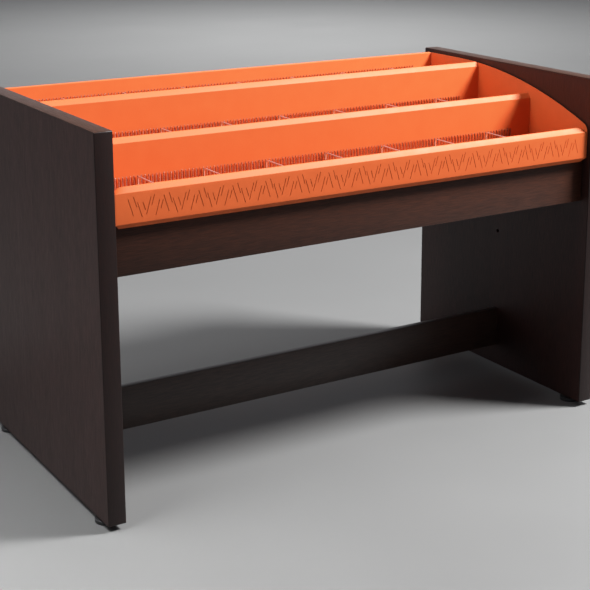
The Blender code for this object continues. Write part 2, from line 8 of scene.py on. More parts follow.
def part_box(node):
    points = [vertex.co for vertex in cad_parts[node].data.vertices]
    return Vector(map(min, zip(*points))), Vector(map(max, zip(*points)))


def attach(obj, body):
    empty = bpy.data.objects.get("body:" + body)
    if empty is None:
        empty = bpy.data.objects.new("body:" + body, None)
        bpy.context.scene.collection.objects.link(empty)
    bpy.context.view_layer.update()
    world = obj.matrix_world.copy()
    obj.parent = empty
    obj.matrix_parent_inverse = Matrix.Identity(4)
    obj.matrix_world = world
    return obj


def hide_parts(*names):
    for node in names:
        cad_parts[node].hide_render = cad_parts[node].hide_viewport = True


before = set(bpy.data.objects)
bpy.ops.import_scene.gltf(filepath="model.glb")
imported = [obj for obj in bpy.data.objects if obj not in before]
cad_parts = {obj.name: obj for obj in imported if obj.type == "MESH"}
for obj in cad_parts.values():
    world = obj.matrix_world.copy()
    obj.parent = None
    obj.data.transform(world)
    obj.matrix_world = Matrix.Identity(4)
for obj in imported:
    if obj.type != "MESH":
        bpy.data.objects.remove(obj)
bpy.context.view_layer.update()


# Studio: a plain pale floor and four soft lamps: a strong one high on the right, a weaker one on the left,
# one over the floor behind, and a small one over the floor at the left. The room is pale at the back.
# The camera stands to the left, and rolls off its brightest tones like film.
CAMERA_PLACE = (-1.6226, -2.7067, 1.2984)
CAMERA_TURN = math.radians(-32.72)
CAMERA_TILT = math.radians(-13.70)
CAMERA_ROLL = math.radians(0.22)
CAMERA_LENS = 85.13
CAMERA_SENSOR = 36.0
CAMERA_SHIFT = (-0.0765, -0.16)
FLOOR_REACH = 30.0
FLOOR_PALE = (0.149, 0.150, 0.149, 1.0)
FLOOR_DULL = (0.127, 0.128, 0.127, 1.0)
FLOOR_CLOUD_SCALE = 1.7
FLOOR_CLOUD_DETAIL = 5.0
FLOOR_ROUGHNESS = (0.52, 0.64)
KEY_PLACE = (2.6, -1.55, 3.75)
KEY_SIZE = 1.2
KEY_POWER = 673.0
LEFT_PLACE = (-2.2, 0.2, 4.0)
LEFT_SIZE = 2.5
LEFT_POWER = 130.0
LAMP_TARGET = (0.0, 0.0, 0.6)
BACK_PLACE = (4.0, 6.5, 5.0)
BACK_SIZE = 3.0
BACK_POWER = 230.0
BACK_SPREAD = math.radians(100)
BACK_TARGET = (4.0, 6.5, 0.0)
SIDE_PLACE = (-1.75, -0.45, 3.2)
SIDE_SIZE = 1.0
SIDE_POWER = 20.0
SIDE_SPREAD = math.radians(50)
SIDE_TARGET = (-1.75, -0.45, 0.0)
BRIGHTEST = 1.7
HIGHLIGHT_TONES = ((0.2, 0.2), (0.4, 0.4), (0.6, 0.598), (0.8, 0.785), (1.0, 0.875), (1.3, 0.96))
ROOM_DIM = (0.118, 0.119, 0.130, 1.0)
ROOM_PALE = (0.785, 0.79, 0.825, 1.0)
ROOM_PALER_TO_BACK = (-0.1, 0.8)
ROOM_PALER_DOWNWARDS = (0.7, 0.1)


def node(tree, kind, inputs=None, **settings):
    """Add a shader node. Each input is given a value, or the socket that feeds it."""
    made = tree.nodes.new(kind)
    for name, value in settings.items():
        setattr(made, name, value)
    for name, value in (inputs or {}).items():
        if isinstance(value, bpy.types.NodeSocket):
            tree.links.new(value, made.inputs[name])
        else:
            made.inputs[name].default_value = value
    return made


def map_range(tree, value, from_limits, to_limits=(0.0, 1.0)):
    """A value socket mapped from one range to another."""
    from_low, from_high = from_limits
    to_low, to_high = to_limits
    made = node(tree, "ShaderNodeMapRange", {
        "Value": value, "From Min": from_low, "From Max": from_high, "To Min": to_low, "To Max": to_high})
    return made.outputs[0]


def blend_colours(tree, share, first, second):
    """A mix of two colours; each is a value or a socket."""
    made = node(tree, "ShaderNodeMix", data_type="RGBA", inputs={0: share, 6: first, 7: second})
    return made.outputs[2]


def new_finish(name):
    """A material with its shader, and the object's own coordinates to lay a pattern on."""
    finish = bpy.data.materials.new(name)
    finish.use_nodes = True
    tree = finish.node_tree
    place = node(tree, "ShaderNodeTexCoord").outputs["Object"]
    return finish, tree, tree.nodes["Principled BSDF"], place


def add_mesh(name, builder):
    """Make an object of a bmesh, with its faces as they are."""
    mesh = bpy.data.meshes.new(name)
    builder.to_mesh(mesh)
    builder.free()
    made = bpy.data.objects.new(name, mesh)
    bpy.context.scene.collection.objects.link(made)
    return made


def add_lamp(name, place, size, power, target=LAMP_TARGET, spread=math.pi):
    """A round soft lamp that points at the tray, or at another target."""
    lamp = bpy.data.lights.new(name, "AREA")
    lamp.shape = "DISK"
    lamp.size = size
    lamp.energy = power
    lamp.spread = spread
    stand = bpy.data.objects.new(name, lamp)
    bpy.context.scene.collection.objects.link(stand)
    stand.location = place
    stand.rotation_euler = (Vector(target) - Vector(place)).to_track_quat("-Z", "Y").to_euler()


camera = bpy.data.objects.new("camera", bpy.data.cameras.new("camera"))
bpy.context.scene.collection.objects.link(camera)
camera.location = CAMERA_PLACE
camera_turn = Matrix.Rotation(CAMERA_TURN, 3, "Z") @ Matrix.Rotation(math.pi / 2 + CAMERA_TILT, 3, "X")
camera.rotation_euler = (camera_turn @ Matrix.Rotation(CAMERA_ROLL, 3, "Z")).to_euler()
camera.data.lens = CAMERA_LENS
camera.data.sensor_width = CAMERA_SENSOR
camera.data.shift_x, camera.data.shift_y = CAMERA_SHIFT
bpy.context.scene.camera = camera

add_lamp("key_lamp", KEY_PLACE, KEY_SIZE, KEY_POWER)
add_lamp("left_lamp", LEFT_PLACE, LEFT_SIZE, LEFT_POWER)
add_lamp("back_lamp", BACK_PLACE, BACK_SIZE, BACK_POWER, BACK_TARGET, BACK_SPREAD)
add_lamp("side_lamp", SIDE_PLACE, SIDE_SIZE, SIDE_POWER, SIDE_TARGET, SIDE_SPREAD)
view = bpy.context.scene.view_settings
view.view_transform = "Standard"
view.use_curve_mapping = True
view.curve_mapping.white_level = (BRIGHTEST, BRIGHTEST, BRIGHTEST)
tone_curve = view.curve_mapping.curves[3]
for light, shown in HIGHLIGHT_TONES:
    tone_curve.points.new(light / BRIGHTEST, shown)
view.curve_mapping.update()

room = bpy.data.worlds.new("room")
room.use_nodes = True
tree = room.node_tree
direction = node(tree, "ShaderNodeTexCoord").outputs["Generated"]
facing = node(tree, "ShaderNodeSeparateXYZ", {0: direction}).outputs
to_back = map_range(tree, facing["Y"], ROOM_PALER_TO_BACK)
to_floor = map_range(tree, facing["Z"], ROOM_PALER_DOWNWARDS)
pale_share = node(tree, "ShaderNodeMath", {0: to_back, 1: to_floor}, operation="MULTIPLY").outputs[0]
room_colour = blend_colours(tree, pale_share, ROOM_DIM, ROOM_PALE)
tree.links.new(room_colour, tree.nodes["Background"].inputs["Color"])
bpy.context.scene.world = room

floor_finish, tree, shader, place = new_finish("pale_floor")
cloud = node(tree, "ShaderNodeTexNoise", {
    "Vector": place, "Scale": FLOOR_CLOUD_SCALE, "Detail": FLOOR_CLOUD_DETAIL}).outputs[0]
tree.links.new(blend_colours(tree, cloud, FLOOR_DULL, FLOOR_PALE), shader.inputs["Base Color"])
tree.links.new(map_range(tree, cloud, (0.0, 1.0), FLOOR_ROUGHNESS), shader.inputs["Roughness"])
builder = bmesh.new()
bmesh.ops.create_grid(builder, x_segments=1, y_segments=1, size=FLOOR_REACH)
floor = add_mesh("floor", builder)
floor.data.materials.append(floor_finish)


# End panels: 38 mm boards faced with a dark brown wood-look laminate, its grain running up and down.
# The frame's own boards stay, with their bores, and get the laminate's streaks and fine pores.
SIDES = {"left": -1, "right": 1}
LAMINATE_DARK = (0.0146, 0.0057, 0.0046, 1.0)
LAMINATE_LIGHT = (0.0375, 0.0126, 0.0100, 1.0)
LAMINATE_SHINE = 0.28
GRAIN_UPRIGHT = (1.0, 1.0, 0.045)
GRAIN_BUMP = 0.00012
STREAK_NOISE = {"Scale": 22.0, "Detail": 3.0, "Roughness": 0.5, "Distortion": 0.25}
STREAK_SHARE = 0.18
DASH_NOISE = {"Scale": 640.0, "Detail": 2.0, "Roughness": 0.6}
DASH_SHARE = 0.82
PORE_NOISE = {"Scale": 930.0, "Detail": 1.0}
PORE_LIMITS = (0.58, 0.70)
PORE_DARKNESS = (0.0, 0.7)
TONE_LIMITS = (0.37, 0.65)
GLOSS_LIMITS = (0.3, 0.7)
GLOSS_ROUGHNESS = (0.50, 0.38)
FIGURE_HEIGHT = 0.6
PORE_HEIGHT = -0.8


def shader_group(name, inputs, outputs):
    """An empty node group with named sockets; gives the group, its inner inputs and its output node."""
    group = bpy.data.node_groups.new(name, "ShaderNodeTree")
    for label, kind in inputs.items():
        group.interface.new_socket(label, in_out="INPUT", socket_type=f"NodeSocket{kind}")
    for label, kind in outputs.items():
        group.interface.new_socket(label, in_out="OUTPUT", socket_type=f"NodeSocket{kind}")
    return group, node(group, "NodeGroupInput").outputs, node(group, "NodeGroupOutput")


def sum_of(tree, first, share, second, other_share):
    """first * share + second * other_share, for two value sockets."""
    part = node(tree, "ShaderNodeMath", {0: first, 1: share}, operation="MULTIPLY").outputs[0]
    added = {0: second, 1: other_share, 2: part}
    return node(tree, "ShaderNodeMath", added, operation="MULTIPLY_ADD").outputs[0]


board_grain, given, result = shader_group(
    "board_grain", {"Vector": "Vector", "Dark": "Color", "Light": "Color"},
    {"Color": "Color", "Roughness": "Float", "Height": "Float"})
streak, dash, pore = [
    node(board_grain, "ShaderNodeTexNoise", {"Vector": given["Vector"], **noise}).outputs[0]
    for noise in (STREAK_NOISE, DASH_NOISE, PORE_NOISE)]
figure = sum_of(board_grain, dash, DASH_SHARE, streak, STREAK_SHARE)
tone = map_range(board_grain, figure, TONE_LIMITS)
hollow = map_range(board_grain, pore, PORE_LIMITS, PORE_DARKNESS)
gloss = map_range(board_grain, figure, GLOSS_LIMITS, GLOSS_ROUGHNESS)
height = sum_of(board_grain, figure, FIGURE_HEIGHT, hollow, PORE_HEIGHT)
streaked = blend_colours(board_grain, tone, given["Dark"], given["Light"])
board_grain.links.new(blend_colours(board_grain, hollow, streaked, given["Dark"]), result.inputs["Color"])
board_grain.links.new(gloss, result.inputs["Roughness"])
board_grain.links.new(height, result.inputs["Height"])


def board_finish(name, dark, light, grain_scale, shine=LAMINATE_SHINE):
    """A wood finish whose grain runs along the axis that grain_scale draws out."""
    finish, tree, shader, place = new_finish(name)
    drawn = node(tree, "ShaderNodeMapping", {"Vector": place, "Scale": grain_scale}).outputs[0]
    figure = node(tree, "ShaderNodeGroup", node_tree=board_grain)
    tree.links.new(drawn, figure.inputs["Vector"])
    figure.inputs["Dark"].default_value = dark
    figure.inputs["Light"].default_value = light
    relief = node(tree, "ShaderNodeBump", {"Height": figure.outputs["Height"], "Distance": GRAIN_BUMP})
    tree.links.new(figure.outputs["Color"], shader.inputs["Base Color"])
    tree.links.new(figure.outputs["Roughness"], shader.inputs["Roughness"])
    tree.links.new(relief.outputs[0], shader.inputs["Normal"])
    shader.inputs["Specular IOR Level"].default_value = shine
    return finish


def dress(node_name, finish):
    """Give a piece of the frame its finish."""
    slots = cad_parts[node_name].data.materials
    slots.clear()
    slots.append(finish)


panel_finish = board_finish("panel_laminate", LAMINATE_DARK, LAMINATE_LIGHT, GRAIN_UPRIGHT)
for side in SIDES:
    dress(f"{side}_end_panel", panel_finish)


# Edge bands: 2 mm strips of the same look, glued round the four edges of each panel; the faces that look up
# or down get a lighter copy of the colours, which is painted light.
# Their long edges are milled to a small round, and the studs of the feet pass through the lower strip.
END_NAMES = ("front", "rear")
BAND_THICKNESS = 0.002
BAND_CORNER = 0.003
BAND_CORNER_STEPS = 4
BAND_ROUND = 0.0012
BAND_ROUND_STEPS = 3
BAND_DARK = (0.0060, 0.0021, 0.0017, 1.0)
BAND_LIGHT = (0.0145, 0.0047, 0.0038, 1.0)
# Lighter colours for the bands' faces that look up or down: painted light from above.
BAND_LIT_TOP_DARK = (0.0195, 0.0072, 0.0038, 1.0)
BAND_LIT_TOP_LIGHT = (0.0450, 0.0172, 0.0090, 1.0)
BAND_TOP_SHINE = 0.15
GRAIN_LEVEL = (1.0, 0.045, 1.0)
PASSAGE_DIAMETER = 0.0116
PASSAGE_SIDES = 24
ROD_SIDES = 16
ROUND_STEPS = 2
SHARP_ANGLE = math.radians(32)
SIDEWAYS = 0.9


def settle(piece):
    """Turn a piece's modifiers into its mesh, shaded smooth between its sharp edges."""
    seen = piece.evaluated_get(bpy.context.evaluated_depsgraph_get())
    mesh = bpy.data.meshes.new_from_object(seen)
    piece.modifiers.clear()
    piece.data = mesh
    mesh.shade_smooth()
    mesh.set_sharp_from_angle(angle=SHARP_ANGLE)


def add_solid(name, builder):
    """Make an object of a bmesh, with its faces turned outwards."""
    bmesh.ops.recalc_face_normals(builder, faces=builder.faces[:])
    return add_mesh(name, builder)


def cut_away(piece, builder):
    """Cut the shapes in a bmesh out of a piece."""
    tool = add_solid("cutting_tool", builder)
    cut = piece.modifiers.new("cut", "BOOLEAN")
    cut.solver = "EXACT"
    cut.object = tool
    settle(piece)
    bpy.data.objects.remove(tool, do_unlink=True)


def add_block(builder, low, high):
    """A box between two corners."""
    low, high = Vector(low), Vector(high)
    place = Matrix.Translation((low + high) / 2) @ Matrix.Diagonal((*(high - low), 1.0))
    bmesh.ops.create_cube(builder, size=1.0, matrix=place)


def add_rod(builder, start, end, diameter, sides=ROD_SIDES):
    """A closed round bar between two points."""
    start, end = Vector(start), Vector(end)
    along = end - start
    place = Matrix.Translation((start + end) / 2) @ along.to_track_quat("Z", "Y").to_matrix().to_4x4()
    bmesh.ops.create_cone(builder, cap_ends=True, segments=sides, radius1=diameter / 2, radius2=diameter / 2,
                          depth=along.length, matrix=place)


def round_off(builder, edges, radius, segments=ROUND_STEPS):
    """Bevel some edges to a round."""
    bmesh.ops.bevel(builder, geom=edges, offset=radius, affect="EDGES", segments=segments, profile=0.5,
                    material=-1)


def side_rims(builder):
    """The edges where the two faces that look sideways meet the others."""
    return [e for e in builder.edges if sum(abs(f.normal.x) > SIDEWAYS for f in e.link_faces) == 1]


band_finishes = [board_finish("band_upright", BAND_DARK, BAND_LIGHT, GRAIN_UPRIGHT),
                 board_finish("band_level_painted_light", BAND_LIT_TOP_DARK, BAND_LIT_TOP_LIGHT, GRAIN_LEVEL, BAND_TOP_SHINE)]
for side in SIDES:
    low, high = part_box(f"{side}_edge_band")
    builder = bmesh.new()
    add_block(builder, low, high)
    corners = [e for e in builder.edges if abs(e.verts[0].co.x - e.verts[1].co.x) > 0]
    round_off(builder, corners, BAND_CORNER, BAND_CORNER_STEPS)
    round_off(builder, side_rims(builder), BAND_ROUND, BAND_ROUND_STEPS)
    faces_of_board = [f for f in builder.faces if len(f.verts) > 4]
    bmesh.ops.inset_individual(builder, faces=faces_of_board, thickness=BAND_THICKNESS - BAND_ROUND,
                               use_even_offset=True)
    bmesh.ops.delete(builder, geom=[f for f in builder.faces if len(f.verts) > 4], context="FACES")
    bmesh.ops.bridge_loops(builder, edges=[e for e in builder.edges if e.is_boundary])
    # Faces that look up or down take the lighter colours, as painted light; the others take the plain band
    # colours.
    for face in builder.faces:
        face.material_index = 1 if abs(face.normal.z) > abs(face.normal.y) else 0
    strip = add_solid(f"{side}_band_strip", builder)
    for finish in band_finishes:
        strip.data.materials.append(finish)
    passages = bmesh.new()
    for end in END_NAMES:
        insert_low, insert_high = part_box(f"{end}_{side}_foot_insert")
        middle = (insert_low + insert_high) / 2
        below = (middle.x, middle.y, low.z - BAND_THICKNESS)
        above = (middle.x, middle.y, low.z + 2 * BAND_THICKNESS)
        add_rod(passages, below, above, PASSAGE_DIAMETER, PASSAGE_SIDES)
    cut_away(strip, passages)
    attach(strip, "base")
    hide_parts(f"{side}_edge_band")


# Rails: the two aprons that carry the tray and the low stretcher, 18 mm boards in the same laminate; the
# stretcher's copy is less red and greyer: painted shade, with a painted reflection of the grey floor.
# Their grain runs from panel to panel, their edges are eased, and the cams sit in pockets at the back.
RAILS = ("front_apron", "rear_apron", "lower_stretcher")
RAIL_ROUND = 0.0009
RAIL_DARK = (0.0250, 0.0078, 0.0040, 1.0)
RAIL_LIGHT = (0.0550, 0.0168, 0.0084, 1.0)
# The stretcher's colours, less red and greyer than the aprons': painted shade and a painted reflection of the
# grey floor.
STRETCHER_SHADE_DARK = (0.0190, 0.0085, 0.0058, 1.0)
STRETCHER_SHADE_LIGHT = (0.0420, 0.0185, 0.0125, 1.0)
STRETCHER_SHINE = 0.5
GRAIN_ALONG = (0.045, 1.0, 1.0)
PIN_PLAY = 0.0006
POCKET_DEPTH = 0.0128
DISC_SIDES = 32

apron_finish = board_finish("apron_laminate", RAIL_DARK, RAIL_LIGHT, GRAIN_ALONG)
stretcher_shade_finish = board_finish("stretcher_laminate_painted_shade", STRETCHER_SHADE_DARK, STRETCHER_SHADE_LIGHT, GRAIN_ALONG,
                                STRETCHER_SHINE)
for rail in RAILS:
    low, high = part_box(rail)
    builder = bmesh.new()
    add_block(builder, low, high)
    round_off(builder, builder.edges[:], RAIL_ROUND)
    board = add_solid(f"{rail}_board", builder)
    board.data.materials.append(apron_finish if rail.endswith("apron") else stretcher_shade_finish)
    bores = bmesh.new()
    for side, sign in SIDES.items():
        for pin in (f"{rail}_lower_{side}_dowel", f"{rail}_upper_{side}_dowel", f"{rail}_{side}_cam_bolt"):
            pin_low, pin_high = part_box(pin)
            middle = (pin_low + pin_high) / 2
            inner_end = Vector((pin_low.x if sign > 0 else pin_high.x, middle.y, middle.z))
            mouth = Vector((sign * (high.x + PIN_PLAY), middle.y, middle.z))
            add_rod(bores, inner_end, mouth, pin_high.z - pin_low.z + PIN_PLAY)
    cut_away(board, bores)
    pockets = bmesh.new()
    for side in SIDES:
        disc_low, disc_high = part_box(f"{rail}_{side}_cam_disc")
        middle = (disc_low + disc_high) / 2
        add_rod(pockets, (middle.x, high.y - POCKET_DEPTH, middle.z), (middle.x, high.y + PIN_PLAY, middle.z),
                disc_high.z - disc_low.z + PIN_PLAY, DISC_SIDES)
    cut_away(board, pockets)
    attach(board, "base")
    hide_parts(rail)


# Dowels and cam bolts: turned beech pins and zinc-plated bolts, two and one at each end of a rail.
# They lie inside the boards and keep their own shapes from the frame.
BEECH_DARK = (0.36, 0.22, 0.12, 1.0)
BEECH_LIGHT = (0.56, 0.39, 0.24, 1.0)
ZINC_DARK = (0.42, 0.43, 0.45, 1.0)
ZINC_LIGHT = (0.62, 0.63, 0.64, 1.0)
ZINC_SPECKLE = {"scale": 420.0, "smooth": 0.24, "dull": 0.40, "bump": 0.00002, "metallic": 1.0}
DOT_DETAIL = 2.0
DOT_SHARE = 0.45
PATCH_DETAIL = 3.0
PATCH_SHARE = 0.55
PATCH_SCALE_SHARE = 0.05
SHADE_LIMITS = (0.3, 0.7)

fine_speckle, given, result = shader_group(
    "fine_speckle", {"Vector": "Vector", "Scale": "Float", "Smooth": "Float", "Dull": "Float"},
    {"Shade": "Float", "Roughness": "Float", "Height": "Float"})
dots = node(fine_speckle, "ShaderNodeTexNoise", {
    "Vector": given["Vector"], "Scale": given["Scale"], "Detail": DOT_DETAIL}).outputs[0]
patch_scale = node(fine_speckle, "ShaderNodeMath", {0: given["Scale"], 1: PATCH_SCALE_SHARE},
                   operation="MULTIPLY").outputs[0]
patches = node(fine_speckle, "ShaderNodeTexNoise", {
    "Vector": given["Vector"], "Scale": patch_scale, "Detail": PATCH_DETAIL}).outputs[0]
shade = sum_of(fine_speckle, dots, DOT_SHARE, patches, PATCH_SHARE)
dullness = map_range(fine_speckle, shade, SHADE_LIMITS, (given["Smooth"], given["Dull"]))
fine_speckle.links.new(shade, result.inputs["Shade"])
fine_speckle.links.new(dullness, result.inputs["Roughness"])
fine_speckle.links.new(dots, result.inputs["Height"])


def speckled_finish(name, dark, light, scale, smooth, dull, bump, metallic=0.0, shine=0.5):
    """A plain finish with fine speckle in its colour, its gloss and its relief."""
    finish, tree, shader, place = new_finish(name)
    speckle = node(tree, "ShaderNodeGroup", node_tree=fine_speckle)
    tree.links.new(place, speckle.inputs["Vector"])
    for label, value in (("Scale", scale), ("Smooth", smooth), ("Dull", dull)):
        speckle.inputs[label].default_value = value
    spread = map_range(tree, speckle.outputs["Shade"], SHADE_LIMITS)
    relief = node(tree, "ShaderNodeBump", {"Height": speckle.outputs["Height"], "Distance": bump})
    tree.links.new(blend_colours(tree, spread, dark, light), shader.inputs["Base Color"])
    tree.links.new(speckle.outputs["Roughness"], shader.inputs["Roughness"])
    tree.links.new(relief.outputs[0], shader.inputs["Normal"])
    shader.inputs["Metallic"].default_value = metallic
    shader.inputs["Specular IOR Level"].default_value = shine
    return finish


beech_finish = board_finish("beech", BEECH_DARK, BEECH_LIGHT, GRAIN_ALONG)
zinc_finish = speckled_finish("zinc_plate", ZINC_DARK, ZINC_LIGHT, **ZINC_SPECKLE)
for rail in RAILS:
    for side in SIDES:
        dress(f"{rail}_lower_{side}_dowel", beech_finish)
        dress(f"{rail}_upper_{side}_dowel", beech_finish)
        dress(f"{rail}_{side}_cam_bolt", zinc_finish)


# Cam discs: zinc castings that turn in the rails' pockets and draw the bolts tight.
# Each has an eased rim, a cross slot for a screwdriver and a bore at the side for the bolt.
DISC_ROUND = 0.0005
CROSS_REACH = 0.0036
CROSS_WIDTH = 0.0013
CROSS_DEPTH = 0.0022
RIM_ANGLE = 1.0

for rail in RAILS:
    for side, sign in SIDES.items():
        low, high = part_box(f"{rail}_{side}_cam_disc")
        middle = (low + high) / 2
        builder = bmesh.new()
        add_rod(builder, (middle.x, low.y, middle.z), (middle.x, high.y, middle.z), high.z - low.z,
                DISC_SIDES)
        round_off(builder, [e for e in builder.edges if e.calc_face_angle() > RIM_ANGLE], DISC_ROUND)
        disc = add_solid(f"{rail}_{side}_cam", builder)
        disc.data.materials.append(zinc_finish)
        bolt_low, bolt_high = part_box(f"{rail}_{side}_cam_bolt")
        bolt_y = (bolt_low.y + bolt_high.y) / 2
        bore = bmesh.new()
        add_rod(bore, (middle.x, bolt_y, middle.z), (middle.x + sign * (high.x - low.x), bolt_y, middle.z),
                bolt_high.z - bolt_low.z + PIN_PLAY)
        cut_away(disc, bore)
        for reach, width in ((CROSS_REACH, CROSS_WIDTH), (CROSS_WIDTH, CROSS_REACH)):
            bar = bmesh.new()
            add_block(bar, (middle.x - reach, high.y - CROSS_DEPTH, middle.z - width),
                      (middle.x + reach, high.y + CROSS_DEPTH, middle.z + width))
            cut_away(disc, bar)
        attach(disc, "base")
        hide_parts(f"{rail}_{side}_cam_disc")


# Row pans: 1.5 mm sheet steel, folded into a front skirt, a bevelled lip, a trough and its floor.
# They are powder coated orange. The front pan's skirt is the tray's face, with a hem, drawn-down lip ends
# and a band of cut slits.
ROW_NAMES = ("front_row", "middle_row", "back_row")
FRONT, MIDDLE, BACK = range(len(ROW_NAMES))
SHEET = 0.0015
PIECE_GAP = 0.0003
FOLD_RADIUS = 0.0018
FOLD_STEPS = 5
SAME_PLACE = 1e-4
ROW_RISE = 0.052
FRONT_RIDGE_Z = 0.6945
ROW_DEPTH = 0.0755
ROW_PITCH = 0.206
FACE_HEIGHT = 0.061
HEM = 0.010
HEM_EDGE = HEM / 4
HEM_MITRE = 0.008
BEVEL_RISE = 0.011
BEVEL_RUN = 0.009
LIP_DEPTH = 0.013
LIP_END = 0.025
LIP_END_STEPS = 7
LIP_END_SHARE = 0.09
LIP_END_EDGE = 0.99
UPSTAND = 0.025
BACK_RETURN = 0.010
SLIT_PITCH = 0.0094
SLIT_WIDTH = 0.0013
SLIT_CUT_DEPTH = 4 * SHEET
SLIT_LENGTHS = (0.036, 0.022, 0.032, 0.018)
SLIT_DROPS = (0.030, 0.020, 0.036, 0.030)
SLIT_SLANT = math.radians(17)
SLIT_MARGIN = 0.030
SCREW_HOLE = 0.0052
COAT_DEEP = (0.535, 0.099, 0.0255, 1.0)
COAT_LIGHT = (0.585, 0.111, 0.0290, 1.0)
COAT_SPECKLE = {"scale": 620.0, "smooth": 0.48, "dull": 0.56, "bump": 0.00003, "shine": 0.16}

coat_finish = speckled_finish("orange_coat", COAT_DEEP, COAT_LIGHT, **COAT_SPECKLE)
front_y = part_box("front_row_pan")[0].y
front_fold_z = FRONT_RIDGE_Z - BEVEL_RISE
back_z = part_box("back_row_pan")[1].z


def add_line(builder, points):
    """A line of edges through some points; gives its vertices and its edges."""
    line = [builder.verts.new(point) for point in points]
    return line, [builder.edges.new(pair) for pair in zip(line, line[1:])]


def points_in(geometry):
    """The vertices among an operator's results."""
    return [item for item in geometry if isinstance(item, bmesh.types.BMVert)]


def fold_sheet(section, low_x, high_x):
    """A strip of sheet along a row: the section's (y, z) points drawn out, with a round at each fold."""
    builder = bmesh.new()
    chain = add_line(builder, [(low_x, y, z) for y, z in section])[1]
    drawn = bmesh.ops.extrude_edge_only(builder, edges=chain)["geom"]
    bmesh.ops.translate(builder, verts=points_in(drawn), vec=(high_x - low_x, 0, 0))
    folds = [e for e in builder.edges if len(e.link_faces) == 2]
    for fold in folds:
        turn = fold.calc_face_angle()
        round_off(builder, [fold], FOLD_RADIUS * math.tan(turn / 2), FOLD_STEPS)
    face_y = section[1][0]
    skirt = [f for f in builder.faces if abs(f.calc_center_median().y - face_y) < SAME_PLACE]
    if sum(f.normal.y for f in skirt) > 0:
        bmesh.ops.reverse_faces(builder, faces=builder.faces[:])
    return builder


def pan_section(row):
    """The visible side of a pan's folds as (y, z) points, from the skirt's foot to the back."""
    face_y = front_y + row * ROW_PITCH
    next_y = face_y + ROW_PITCH
    ridge_z = FRONT_RIDGE_Z + row * ROW_RISE
    fold_z = ridge_z - BEVEL_RISE
    floor_z = ridge_z - ROW_DEPTH
    wall_y = face_y + LIP_DEPTH
    if row == FRONT:
        section = [(face_y + HEM, fold_z - FACE_HEIGHT - HEM), (face_y, fold_z - FACE_HEIGHT)]
    else:
        section = [(face_y, floor_z - ROW_RISE + FOLD_RADIUS + PIECE_GAP)]
    section += [(face_y, fold_z), (face_y + BEVEL_RUN, ridge_z), (wall_y, ridge_z), (wall_y, floor_z)]
    if row == BACK:
        return section + [(next_y, floor_z), (next_y, back_z), (next_y + BACK_RETURN, back_z)]
    behind = next_y + SHEET + PIECE_GAP
    return section + [(behind, floor_z), (behind, floor_z + UPSTAND)]


for row, row_name in enumerate(ROW_NAMES):
    low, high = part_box(f"{row_name}_pan")
    builder = fold_sheet(pan_section(row), low.x, high.x)
    if row == FRONT:
        lip_z = front_fold_z - FOLD_RADIUS
        for step in range(2 * LIP_END_STEPS):
            turn = math.pi / 2 * (step // 2) / LIP_END_STEPS
            cut_x = (-1) ** step * (high.x - LIP_END * (1 - math.sin(turn)))
            lip = [f for f in builder.faces if min(v.co.z for v in f.verts) > lip_z]
            around = list({v for f in lip for v in f.verts} | {e for f in lip for e in f.edges})
            bmesh.ops.bisect_plane(builder, geom=lip + around, plane_co=(cut_x, 0, 0), plane_no=(1, 0, 0))
        for vertex in builder.verts:
            along = max(0.0, (abs(vertex.co.x) - high.x) / LIP_END + 1)
            if vertex.co.z > front_fold_z:
                share = max(LIP_END_SHARE, math.sqrt(max(0.0, 1 - along ** 2)))
                vertex.co.z = front_fold_z + (vertex.co.z - front_fold_z) * share
            elif vertex.co.z < low.z + HEM_EDGE and along > LIP_END_EDGE:
                vertex.co.x -= math.copysign(HEM_MITRE, vertex.co.x)
    pan = add_mesh(f"{row_name}_sheet", builder)
    pan.data.materials.append(coat_finish)
    thickness = pan.modifiers.new("sheet", "SOLIDIFY")
    thickness.thickness = SHEET
    thickness.offset = -1.0
    thickness.use_even_offset = True
    settle(pan)
    if row != MIDDLE:
        holes = bmesh.new()
        apron = "front_apron" if row == FRONT else "rear_apron"
        for side in SIDES:
            screw_low, screw_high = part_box(f"{apron}_{side}_screw")
            middle = (screw_low + screw_high) / 2
            add_rod(holes, (middle.x, middle.y, screw_low.z), (middle.x, middle.y, screw_high.z), SCREW_HOLE)
        cut_away(pan, holes)
    if row == FRONT:
        slits = bmesh.new()
        count = int((high.x - low.x - 2 * SLIT_MARGIN) / SLIT_PITCH)
        for index in range(count + 1):
            stroke, slit = divmod(index, len(SLIT_LENGTHS))
            x = (index - count / 2) * SLIT_PITCH
            lean = SLIT_SLANT if stroke % 2 else -SLIT_SLANT
            place = Matrix.Translation((x, low.y + SHEET / 2, front_fold_z - SLIT_DROPS[slit]))
            size = Matrix.Diagonal((SLIT_WIDTH, SLIT_CUT_DEPTH, SLIT_LENGTHS[slit], 1.0))
            bmesh.ops.create_cube(slits, size=1.0, matrix=place @ Matrix.Rotation(lean, 4, "Y") @ size)
        cut_away(pan, slits)
    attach(pan, "base")
    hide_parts(f"{row_name}_pan")


# Cheeks: 2 mm sheet steel, cut to the tray's stepped foot and curved top, coated like the pans.
# Their cut edges are eased.
CHEEK_ROUND = 0.0006
MERGE_DISTANCE = 1e-6
FLAT_ANGLE = math.radians(0.4)

for side in SIDES:
    builder = bmesh.new()
    builder.from_mesh(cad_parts[f"{side}_cheek"].data)
    bmesh.ops.remove_doubles(builder, verts=builder.verts[:], dist=MERGE_DISTANCE)
    bmesh.ops.dissolve_limit(builder, angle_limit=FLAT_ANGLE, verts=builder.verts[:], edges=builder.edges[:])
    round_off(builder, side_rims(builder), CHEEK_ROUND)
    cheek = add_solid(f"{side}_cheek_sheet", builder)
    cheek.data.materials.append(coat_finish)
    settle(cheek)
    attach(cheek, "base")
    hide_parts(f"{side}_cheek")


